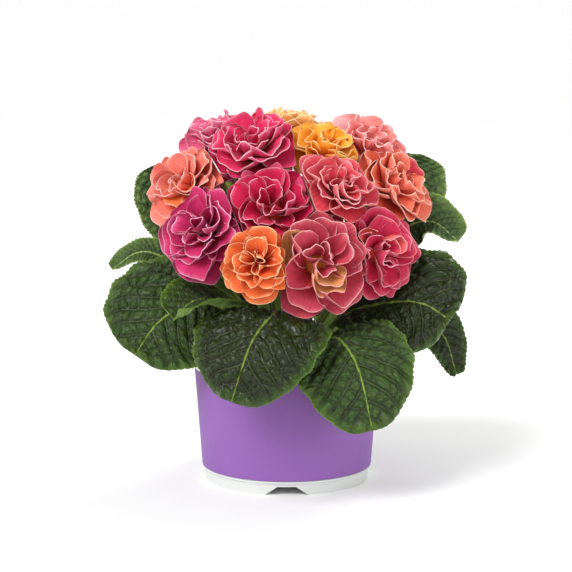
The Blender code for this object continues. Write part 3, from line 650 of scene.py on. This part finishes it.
def pot():
    floor_top = FLOOR_UNDERSIDE + FLOOR_THICKNESS
    profile = [
        (0.0, FLOOR_UNDERSIDE),
        (FOOT_RADIUS - FOOT_THICKNESS - FOOT_DRAFT, FLOOR_UNDERSIDE),
        (FOOT_RADIUS - FOOT_THICKNESS, 0.0),
        (FOOT_RADIUS, 0.0),
        (FOOT_RADIUS + FOOT_FLARE, FOOT_TOP),
        (label_radius(FOOT_TOP), FOOT_TOP + CHAMFER),
        (label_radius(LABEL_BOTTOM), LABEL_BOTTOM),
        (label_radius(LABEL_BOTTOM) - LABEL_RECESS, LABEL_BOTTOM),
        (label_radius(LABEL_TOP) - LABEL_RECESS, LABEL_TOP),
        (label_radius(LABEL_TOP), LABEL_TOP),
        (label_radius(RIM_UNDERSIDE), RIM_UNDERSIDE),
        (RIM_RADIUS - RIM_DRAFT, RIM_UNDERSIDE + CHAMFER),
        (RIM_RADIUS, POT_HEIGHT - CHAMFER),
        (RIM_RADIUS - CHAMFER, POT_HEIGHT),
        (inner_radius(POT_HEIGHT), POT_HEIGHT),
        (inner_radius(floor_top), floor_top),
        (0.0, floor_top),
    ]
    bm = turn_profile(profile, rounding=POT_ROUNDING)
    shell = finish(bm, "pot_shell", pot_paint(), ["pot"], POT_SHARP)
    slope = (NOTCH_HALF_WIDTH_LOW - NOTCH_HALF_WIDTH_HIGH) / NOTCH_HEIGHT
    cutters = bmesh.new()
    for k in range(FEET):
        verts = bmesh.ops.create_cube(cutters, size=1.0)["verts"]
        for vert in verts:
            height = NOTCH_HEIGHT if vert.co.z > 0 else -NOTCH_BELOW
            vert.co.x = FOOT_RADIUS + math.copysign(NOTCH_REACH, vert.co.x)
            vert.co.y = math.copysign(NOTCH_HALF_WIDTH_LOW - slope * height, vert.co.y)
            vert.co.z = height
        turn = Matrix.Rotation(math.tau * k / FEET - math.pi / 2, 3, "Z")
        bmesh.ops.rotate(cutters, cent=(0, 0, 0), matrix=turn, verts=verts)
    for k in range(DRAIN_HOLES):
        angle = math.tau * (k + 0.5) / DRAIN_HOLES
        place = (math.cos(angle) * DRAIN_CIRCLE, math.sin(angle) * DRAIN_CIRCLE, FLOOR_UNDERSIDE)
        bmesh.ops.create_cone(
            cutters,
            cap_ends=True,
            segments=DRAIN_SIDES,
            radius1=DRAIN_RADIUS,
            radius2=DRAIN_RADIUS,
            depth=DRAIN_CUT,
            matrix=Matrix.Translation(place),
        )
    bmesh.ops.recalc_face_normals(cutters, faces=cutters.faces)
    cut(shell, cutters)
    shell.data.set_sharp_from_angle(angle=math.radians(POT_SHARP))


def label():
    low, high = LABEL_BOTTOM + GAP, LABEL_TOP - GAP
    profile = [
        (label_radius(low), low),
        (label_radius(high), high),
        (label_radius(high) - LABEL_THICKNESS, high),
        (label_radius(low) - LABEL_THICKNESS, low),
    ]
    bm = turn_profile(profile, rounding=LABEL_ROUNDING, closed=True)
    finish(bm, "sleeve", label_paint(), ["pot_label"], POT_SHARP)


def soil():
    """Peat with a crumbly mound, and loose crumbs on it."""
    low = FLOOR_UNDERSIDE + FLOOR_THICKNESS + SOIL_GAP
    edge = SOIL_TOP - SOIL_EDGE_DROP
    reach = inner_radius(edge) - SOIL_GAP
    slope = []
    for k in range(SOIL_RINGS):
        share = k / SOIL_RINGS
        risen = math.sin(math.pi / 2 * min(1.0, share / MOUND_SHARE))
        slope.append((reach * (1 - share), edge + SOIL_EDGE_DROP * risen))
    profile = [(0.0, low), (inner_radius(low) - SOIL_GAP, low), *slope, (0.0, SOIL_TOP)]
    bm = turn_profile(profile, segments=SOIL_SEGMENTS)
    for vert in bm.verts:
        radius = math.hypot(vert.co.x, vert.co.y)
        if vert.co.z > edge - SOIL_TOLERANCE and radius < reach - SOIL_EVEN:
            vert.co.z += noise.fractal(vert.co * CLOD_SCALE, 0.8, 2.0, 4) * CLOD_HEIGHT
    chance = random.Random(4)
    for _ in range(CRUMBS):
        angle = chance.uniform(0, math.tau)
        out = reach * math.sqrt(chance.uniform(*CRUMB_REACH))
        size = chance.uniform(*CRUMB_SIZES) * MM
        spot = Matrix.Translation((math.cos(angle) * out, math.sin(angle) * out, SOIL_TOP - CRUMB_SINK))
        crumb = bmesh.ops.create_icosphere(bm, subdivisions=1, radius=size, matrix=spot)["verts"]
        for vert in crumb:
            vert.co += noise.noise_vector(vert.co * CRUMB_ROUGHNESS) * size * 0.5
    finish(bm, "peat_mound", soil_paint(), ["soil"], 80)


def bezier(a, b, c, d, t):
    s = 1.0 - t
    return a * s**3 + b * (3 * s * s * t) + c * (3 * s * t * t) + d * t**3


def facing(name):
    """The direction that a bloom faces: away from the middle of the cluster."""
    middle, _, nudge, _ = BLOOMS[name]
    middle = Vector(middle) * MM
    focus = CLUSTER_FOCUS_BACK if middle.y > BACK_STARTS else CLUSTER_FOCUS_FRONT
    return ((middle - focus).normalized() + Vector(nudge)).normalized()


def tube(bm, points, radii, ribs):
    """A closed tube through the points, with that radius and that depth of its ribs at each."""
    rings = []
    for k, (point, radius) in enumerate(zip(points, radii)):
        way = (points[min(k + 1, len(points) - 1)] - points[max(k - 1, 0)]).normalized()
        turn = way.to_track_quat("Z", "Y").to_matrix().to_4x4()
        made = bmesh.ops.create_circle(bm, segments=STALK_SIDES, radius=radius)["verts"]
        if ribs[k]:
            for vert in made:
                angle = math.atan2(vert.co.y, vert.co.x)
                vert.co *= 1.0 + ribs[k] * math.cos(CALYX_RIBS * angle)
        bmesh.ops.transform(bm, matrix=Matrix.Translation(point) @ turn, verts=made)
        rings.append(list({edge for vert in made for edge in vert.link_edges}))
        if k in (0, len(points) - 1):
            bmesh.ops.contextual_create(bm, geom=made)
    for lower, upper in zip(rings, rings[1:]):
        bmesh.ops.bridge_loops(bm, edges=lower + upper)


def stalk(bm, end, outward, cup):
    """One flower stalk from the crown to that end, with the cup as its last stretch."""
    neck = end - outward * CALYX_LENGTH
    plan = Vector((end.x, end.y, 0.0))
    away = plan.normalized()
    out = min(CROWN_RADIUS * STALK_ROOT_CIRCLE, plan.length)
    root = UP * (CROWN_TOP - STALK_ROOT_DEPTH) + away * out
    bow = (neck - root).length * STALK_BOW
    first = root + (away * STALK_START[0] + UP * STALK_START[1]) * bow
    last = neck - outward * bow
    points = [bezier(root, first, last, neck, k / STALK_STEPS) for k in range(STALK_STEPS + 1)]
    points += [neck + outward * CALYX_LENGTH * share for share, _, _ in cup]
    radii = [STALK_RADIUS] * (STALK_STEPS + 1) + [radius for _, radius, _ in cup]
    ribs = [0.0] * (STALK_STEPS + 1) + [depth for _, _, depth in cup]
    tube(bm, points, radii, ribs)


def crown_and_stalks():
    profile = [
        (0.0, CROWN_BOTTOM),
        (CROWN_RADIUS * CROWN_TAPER, CROWN_BOTTOM),
        (CROWN_RADIUS, SOIL_TOP),
        (CROWN_RADIUS, HIGH + PETIOLE_THICKNESS / 2),
        (CROWN_RADIUS * CROWN_TAPER, CROWN_TOP),
        (0.0, CROWN_TOP),
    ]
    bm = turn_profile(profile, rounding=CROWN_ROUNDING, segments=CROWN_SEGMENTS)
    for name, (middle, radius, *_) in BLOOMS.items():
        outward = facing(name)
        stalk(bm, Vector(middle) * MM - outward * (BLOOM_BASE * radius * MM + GAP), outward, CALYX)
    for place in BUDS:
        end = Vector(place) * MM
        stalk(bm, end, (end - CLUSTER_FOCUS_FRONT).normalized(), CLOSED_BUD)
    bmesh.ops.recalc_face_normals(bm, faces=bm.faces)
    finish(bm, "flower_stalks", stalk_paint(), ["crown_and_flower_stalks"], 60)


def along(points, t):
    """A smooth curve through the points, at t from 0 to 1."""
    spans = len(points) - 1
    k = min(int(t * spans), spans - 1)
    s = t * spans - k
    before = points[k - 1] if k else points[0] * 2 - points[1]
    after = points[k + 2] if k + 2 <= spans else points[-1] * 2 - points[-2]
    a, b = points[k], points[k + 1]
    square = 2 * before - 5 * a + 4 * b - after
    cube = 3 * a - before - 3 * b + after
    return a + ((b - before) * s + square * s**2 + cube * s**3) / 2


def blade_outline(share):
    """Half width of a blade, as a share of the widest, at that share of its length."""
    if share < WIDEST:
        grown = math.sin(math.pi / 2 * max(share, 0.0) / WIDEST) ** BASE_CURVE
        return BASE_WIDTH + (1.0 - BASE_WIDTH) * grown
    return math.sqrt(1.0 - (1.0 - TIP_WIDTH**2) * ((share - WIDEST) / (1.0 - WIDEST)) ** TIP_CURVE)


def smooth(value, low, high):
    t = min(1.0, max(0.0, (value - low) / (high - low)))
    return t * t * (3 - 2 * t)


def gap(value):
    """0 on a whole number, 1 halfway between two."""
    return abs((value + 0.5) % 1.0 - 0.5) * 2.0


def staggered(band, run):
    """The small veins' count along a band, shifted from band to band."""
    return run + STAGGER * math.floor(band)


class Leaf:
    """One leaf as a surface. u runs across from -1 to 1, q from 0 at the blade's base to 1 at its tip.

    On the stalk q is below 0.
    """

    def __init__(self, name):
        tier, points, half_width, roll, self.cup = LEAVES[name]
        points = [Vector(p) * MM for p in points]
        plan = Vector((points[0].x, points[0].y, 0.0)).normalized()
        start = plan * (CROWN_RADIUS + ROOT_GAP) + UP * tier
        self.points = [start] + points
        self.half_width = half_width * MM
        self.roll = math.radians(roll)
        self.seed = sum(ord(letter) for letter in name) * 1.7
        reach = Vector((points[-1].x, points[-1].y, 0.0)).normalized()
        self.across = UP.cross(reach)
        steps = [along(self.points, k / LENGTH_STEPS) for k in range(LENGTH_STEPS + 1)]
        self.length = sum((b - a).length for a, b in zip(steps, steps[1:])) * (1.0 - BLADE_START)

    def frame(self, t):
        """Midline point, direction across and upper side at t."""
        here = along(self.points, t)
        ahead = along(self.points, min(t + TANGENT_STEP, 1.0))
        tangent = (ahead - along(self.points, max(t - TANGENT_STEP, 0.0))).normalized()
        side = (self.across - tangent * self.across.dot(tangent)).normalized()
        eased = min(1.0, t / ROLL_SHARE)
        side = Quaternion(tangent, self.roll * eased * eased * (3 - 2 * eased)) @ side
        return here, side, tangent.cross(side)

    def uneven(self, x, y, layer=0):
        """A slow random rise and fall, another one for each leaf and layer."""
        return noise.noise(Vector((x, y, self.seed + layer)))

    def corner(self, u, q):
        """Both faces' points and the vertex data that the leaf's paint reads."""
        share = q + VEIN_SLANT * abs(u) * (1.0 - q) if q > 0 else q
        t = BLADE_START + share * (1.0 - BLADE_START)
        here, side, upper = self.frame(min(max(t, 0.0), 1.0))
        blade = min(1.0, max(0.0, share / FLARE_SHARE))
        half = PETIOLE_HALF_WIDTH * (1 - blade) + self.half_width * blade_outline(share) * blade
        size = math.sqrt(self.half_width / WIDE_LEAF)
        stem_near = max(0.0, 1.0 - share)
        x, y = u * half / MM, share * self.length / MM

        # The veins: side veins lie at whole numbers of band, small veins at whole numbers along it.
        rise = abs(x) * (VEIN_RISE + VEIN_CURL * abs(x) * MM / self.half_width)
        waver = VEIN_WAVER * self.uneven(x * 0.06, y * 0.06)
        band = (y - rise + waver) / (VEIN_PITCH * size) + (VEIN_OFFSET if x > 0 else 0.0)
        waver = LADDER_WAVER * self.uneven(x * 0.11, y * 0.11, 40)
        run = (abs(x) + y) * DIAGONAL / (LADDER_PITCH * size) + waver
        ribs = x / (MIDRIB_TIP + MIDRIB_SWELL * stem_near)

        # The relief: blisters between the veins, lumps, pleats and the waved, toothed margin.
        swollen = smooth(gap(staggered(band, run)), 0.0, LADDER_WIDTH)
        pillow = smooth(gap(band), 0.0, FURROW_WIDTH) * (BAND_SWELL + (1.0 - BAND_SWELL) * swollen)
        lumps = self.uneven(x * LUMP_SCALE, y * LUMP_SCALE, 20)
        midrib = 1.0 - smooth(abs(ribs), 0.6, 2.0)
        calm = (1.0 - midrib) * blade * (1.0 - 0.75 * smooth(abs(u), 0.9, 1.0))
        raised = (BLISTER_HEIGHT * (pillow - BLISTER_BASE) + LUMP_HEIGHT * lumps) * size * calm
        swell = math.cos(math.tau * PLEATS * q) * blade * size
        pleat = PLEAT_HEIGHT * swell * abs(u) * (1.5 - abs(u)) * (1.0 - 0.7 * smooth(abs(u), 0.6, 1.0))
        tooth = abs(math.sin(math.pi * y / TOOTH_PITCH + 0.8 * self.uneven(y * 0.2, u)))
        half *= 1.0 + MARGIN_SCALLOP * swell * u * u
        half += (tooth - 0.5) * TOOTH_DEPTH * blade * abs(u) ** TOOTH_REACH
        wave = MARGIN_WAVE * size * abs(u) ** 3 * blade * self.uneven(u * 0.8, y * 0.05, 7)
        lift = self.cup * self.half_width * u * u * blade + wave - MIDRIB_SINK * midrib * blade
        middle = here + side * (u * half) + upper * (lift + pleat + raised)

        # The thickness on both sides of it: a round stalk, a thin blade and a thick midrib below.
        stem = PETIOLE_THICKNESS / 2 * (1.0 - MARGIN_THINNING * u * u)
        thin = BLADE_THICKNESS / 2 * blade * (1.0 - BLADE_THINNING * u * u)
        above = stem * (1 - blade) + thin
        below = above + MIDRIB_DEPTH * stem_near * math.exp(-((x / RIB_WIDTH) ** 2)) * blade
        rim = min((1.0 - abs(u)) * half / MM, stem_near * self.length / MM)
        faces = middle + upper * above, middle - upper * below
        return *faces, (x, y + self.seed, rim), (band, run, ribs)


def sheet(bm, columns, rows, surface):
    """Adds a closed thin solid. surface gives both faces' points and what the paints read there.

    That is the place across and ahead and the distance from the margin, in mm, and the form: on a leaf its
    band, place along the band and distance from the midrib, on a petal its share from root to tip, number
    as a share and 1 for the odd colour.
    """
    vectors = bm.verts.layers.float_vector
    place, form = (vectors.get(name) or vectors.new(name) for name in ("place", "form"))
    below = bm.verts.layers.float.get("below") or bm.verts.layers.float.new("below")
    upper = bmesh.ops.create_grid(bm, x_segments=columns, y_segments=rows, size=0.5)["verts"]
    faces = list({face for vert in upper for face in vert.link_faces})
    grown = bmesh.ops.extrude_face_region(bm, geom=faces, use_keep_orig=True)["geom"]
    lower = [item for item in grown if isinstance(item, bmesh.types.BMVert)]
    mates = {(round((v.co.x + 0.5) * columns), round((v.co.y + 0.5) * rows)): v for v in lower}
    for vert in upper:
        x, y = vert.co.x + 0.5, vert.co.y + 0.5
        mate = mates[round(x * columns), round(y * rows)]
        vert.co, mate.co, spot, shape = surface(x, y)
        vert[place] = mate[place] = spot
        vert[form] = mate[form] = shape
        mate[below] = 1.0


def leaf(name, material):
    surface = Leaf(name)
    total = LEAF_ROWS + PETIOLE_ROWS
    columns = 2 * min(LEAF_COLUMNS, max(NARROW_COLUMNS, round(surface.half_width / MM)))

    def place(x, y):
        even = 2 * x - 1
        u = math.sin(math.pi / 2 * even) * COLUMN_EASE + even * (1.0 - COLUMN_EASE)
        k = round(y * total)
        if k < PETIOLE_ROWS:
            return surface.corner(u, PETIOLE_SHARE * k / PETIOLE_ROWS - PETIOLE_SHARE)
        return surface.corner(u, TIP_SHARE * (k - PETIOLE_ROWS) / LEAF_ROWS)

    bm = bmesh.new()
    sheet(bm, columns, total, place)
    face_out(bm)
    finish(bm, f"blade_{name}", material, [f"leaf_{name}"], 75)


def limits(name):
    """The planes that a bloom's petals stay behind, as (direction, distance) from its middle."""
    middle, radius, *_ = BLOOMS[name]
    planes = []
    for other, (place, size, *_) in BLOOMS.items():
        apart = (Vector(place) - Vector(middle)) * MM
        if other != name and apart.length < NEIGHBOUR * (radius + size) * MM:
            reach = apart.length * radius / (radius + size) - CLEARANCE
            planes.append((apart.normalized(), reach))
    across = [k / LOOK_ACROSS for k in range(-LOOK_ACROSS, LOOK_ACROSS + 1)]
    ahead = [k / LOOK_ALONG for k in range(1, LOOK_ALONG)]
    for surface in map(Leaf, LEAVES):
        faces = [face for u in across for q in ahead for face in surface.corner(u, q)[:2]]
        nearest = min((face - Vector(middle) * MM for face in faces), key=lambda way: way.length)
        if nearest.length < LEAF_NEAR * radius * MM:
            planes.append((nearest.normalized(), nearest.length - LEAF_CLEARANCE))
    return planes


def pressed(offset, planes):
    """A petal's point, drawn in towards the bloom's middle until it is on its own side of each plane."""
    distance = offset.length
    if distance < TINY:
        return offset
    nearest = min((reach * distance / max(offset.dot(side), TINY) for side, reach in planes), default=1.0)
    return offset / (1.0 + (distance / nearest) ** PRESS) ** (1.0 / PRESS)


def petal(whorl, angle, radius, chance):
    """A petal's surface in the bloom's own frame, as a function of u across and v from root to tip."""
    _, length, half_width, lean_root, lean_most, turn_in, root, ruffle, twisting = whorl
    length *= radius * chance.uniform(*LENGTH_SPREAD)
    half_width *= radius * chance.uniform(*WIDTH_SPREAD)
    start = math.radians(lean_root + chance.uniform(-ROOT_SPREAD, ROOT_SPREAD))
    turn = math.radians(lean_most + chance.uniform(-LEAN_SPREAD, LEAN_SPREAD)) - start
    turn_in = math.radians(turn_in + chance.uniform(-LEAN_SPREAD, LEAN_SPREAD))
    notch = chance.choice(NOTCHES)
    shingle = chance.uniform(*SHINGLE) * radius
    seed = chance.uniform(0, 500)
    cup = chance.uniform(*CUP) * radius
    twist = chance.uniform(-twisting, twisting)
    shares = [k / STEPS for k in range(STEPS + 1)]
    leans = [start + turn * math.sin(math.pi / 2 * share) - turn_in * share**3 for share in shares]
    course = [(ROOT_CIRCLE * radius, root * radius)]
    for lean in leans:
        out, high = course[-1]
        course.append((out + math.sin(lean) * length / STEPS, high + math.cos(lean) * length / STEPS))

    def surface(u, v):
        s = v * (1.0 - v**3 * (TIP_ROUNDING * u**4 + notch * math.exp(-((u / NOTCH_WIDTH) ** 2))))
        k = min(int(s * STEPS), STEPS - 1)
        part = s * STEPS - k
        lean = leans[k] + (leans[k + 1] - leans[k]) * part
        out = course[k][0] + (course[k + 1][0] - course[k][0]) * part
        high = course[k][1] + (course[k + 1][1] - course[k][1]) * part
        spread = PETAL_ROOT_WIDTH + (1.0 - PETAL_ROOT_WIDTH) * (1.0 - (1.0 - v) ** PETAL_FLARE)
        half = half_width * spread * math.sqrt(1.0 - (max(0.0, v - SHOULDER) / SHOULDER_FALL) ** 2)
        around = angle + twist * v + WRAP * math.tanh(u * half / max(out, NARROWEST * radius) / WRAP)
        edge = max(u * u, v * v) * v
        wave = noise.noise(Vector((u * 1.6, v * 1.2, seed)))
        wave += 0.3 * noise.noise(Vector((u * 3.2, v * 2.6, seed + 9)))
        offset = shingle * u - cup * u * u * v + ruffle * radius * wave * edge
        aside = Vector((math.cos(around), math.sin(around), 0.0))
        normal = aside * math.cos(lean) - UP * math.sin(lean)
        point = aside * out + UP * high + normal * offset
        rim = min((1.0 - abs(u)) * half, (1.0 - v) * length) / MM
        return point, normal, (u * half / MM, v * length / MM, rim)

    return surface


def nearest_petal(turn, first, count, way):
    """Which petal of a whorl points most nearly that way, in degrees as seen from the front."""
    wanted = Vector((math.cos(math.radians(way)), 0.0, math.sin(math.radians(way))))

    def agrees(k):
        angle = first + math.tau * k / count
        return (turn @ Vector((math.cos(angle), math.sin(angle), 0.0))).dot(wanted)

    return max(range(count), key=agrees)


def bloom(name, material):
    middle, radius, _, slot = BLOOMS[name]
    middle, radius = Vector(middle) * MM, radius * MM
    chance = random.Random(f"bloom_{name}")
    turn = facing(name).to_track_quat("Z", "Y") @ Quaternion(UP, chance.uniform(0, math.tau))
    planes = limits(name)
    _, odd_places = ODD_PETALS.get(name, ODD_NONE)
    bm = bmesh.new()
    number = 0
    for rank, whorl in enumerate(WHORLS):
        first = chance.uniform(0, math.tau)
        count = whorl[0]
        odd_ones = [nearest_petal(turn, first, count, way) for row, way in odd_places if row == rank]
        for k in range(count):
            angle = first + math.tau * k / count + chance.uniform(-SHIFT_SPREAD, SHIFT_SPREAD)
            surface = petal(whorl, angle, radius, chance)
            number += 1
            odd = float(k in odd_ones)

            def place(x, y):
                u, v = math.sin(math.pi * (x - 0.5)), 1.0 - (1.0 - y) ** 1.5
                point, normal, spot = surface(u, v)
                point = middle + pressed(turn @ point, planes)
                half = turn @ normal * PETAL_THICKNESS / 2
                return point - half, point + half, spot, (v, number / PETAL_COUNT, odd)

            sheet(bm, PETAL_COLUMNS, PETAL_ROWS, place)
    core = bmesh.ops.create_uvsphere(
        bm, u_segments=CORE_SIDES, v_segments=CORE_RINGS, radius=CORE_RADIUS * radius
    )["verts"]
    sunk = Matrix.Translation((0, 0, -CORE_DEPTH * radius))
    seat = Matrix.Translation(middle) @ turn.to_matrix().to_4x4() @ sunk
    bmesh.ops.transform(bm, matrix=seat, verts=core)
    # The core's form stays at 0, so it takes the throat colour with its painted shade deep in the bloom.
    ground = bm.verts.layers.float_vector["place"]
    for vert in core:
        vert[ground] = (0.0, 0.0, FAR_FROM_MARGIN)
    bmesh.ops.recalc_face_normals(bm, faces=bm.faces)
    finish(bm, f"rosette_{name}", material, [f"bloom_{name}"], 60)


def floor():
    """A pale floor that runs far enough for its edge never to show."""
    bm = bmesh.new()
    bmesh.ops.create_grid(bm, x_segments=1, y_segments=1, size=FLOOR_REACH)
    piece = finish(bm, "pale_floor", floor_paint())


def floor_paint():
    paint = Paint("pale_floor", Roughness=0.8, Specular_IOR_Level=0.2)
    place = paint.place()
    grain = paint.noise(place, 30.0, 3.0)
    paint.link(Base_Color=paint.mix(grain, (0.93, 0.93, 0.93, 1.0), (0.96, 0.96, 0.96, 1.0)))
    return paint.material


def light(name, kind, way, place=(0.0, 0.0, 0.0)):
    """A light that shines along that way. Returns its settings."""
    settings = bpy.data.lights.new(name, kind)
    made = add(name, settings)
    made.location = place
    made.rotation_euler = way.to_track_quat("-Z", "Y").to_euler()
    return settings


def studio():
    """Plain soft light from all round, brighter from the upper front."""
    scene = bpy.context.scene
    world = bpy.data.worlds.new("studio")
    world.use_nodes = True
    tree = world.node_tree
    background = tree.nodes["Background"]
    background.inputs["Color"].default_value = (1.0, 1.0, 1.0, 1.0)
    scene.world = world
    way = tree.nodes.new("ShaderNodeTexCoord")
    parts = tree.nodes.new("ShaderNodeSeparateXYZ")
    fade = tree.nodes.new("ShaderNodeMapRange")
    fade.interpolation_type = "SMOOTHSTEP"
    ends = zip(("From Min", "From Max", "To Min", "To Max"), (*LIGHT_FADE, WALL_LIGHT, SKY_LIGHT))
    for socket, value in ends:
        fade.inputs[socket].default_value = value
    tree.links.new(way.outputs["Generated"], parts.inputs[0])
    tree.links.new(parts.outputs["Z"], fade.inputs["Value"])
    tree.links.new(fade.outputs["Result"], background.inputs["Strength"])
    key = light("key", "SUN", -SUN_SIDE)
    key.energy = SUN_STRENGTH
    key.angle = SUN_WIDTH
    for name, (place, side, watts) in LAMPS.items():
        lamp = light(name, "AREA", LAMP_TARGET - Vector(place), place)
        lamp.shape = "SQUARE"
        lamp.size = side
        lamp.energy = watts
    scene.view_settings.view_transform = "Standard"


def camera():
    made = add("camera", bpy.data.cameras.new("camera"))
    made.data.lens = CAMERA_LENS
    made.data.sensor_width = CAMERA_SENSOR
    made.location = CAMERA_PLACE
    made.rotation_euler = (math.pi / 2 - CAMERA_TILT, 0.0, 0.0)
    bpy.context.scene.camera = made


def main():
    camera()
    studio()
    floor()
    pot()
    label()
    soil()
    crown_and_stalks()
    paints = {age: leaf_paint(f"{age}_leaf", *shades) for age, shades in LEAF_COLOURS.items()}
    for name in LEAVES:
        leaf(name, paints[LEAF_AGES.get(name, "mid")])
    for name in BLOOMS:
        odd_colour, _ = ODD_PETALS.get(name, ODD_NONE)
        bloom(name, petal_paint(f"petals_{name}", odd_colour, *PETALS[name]))


main()
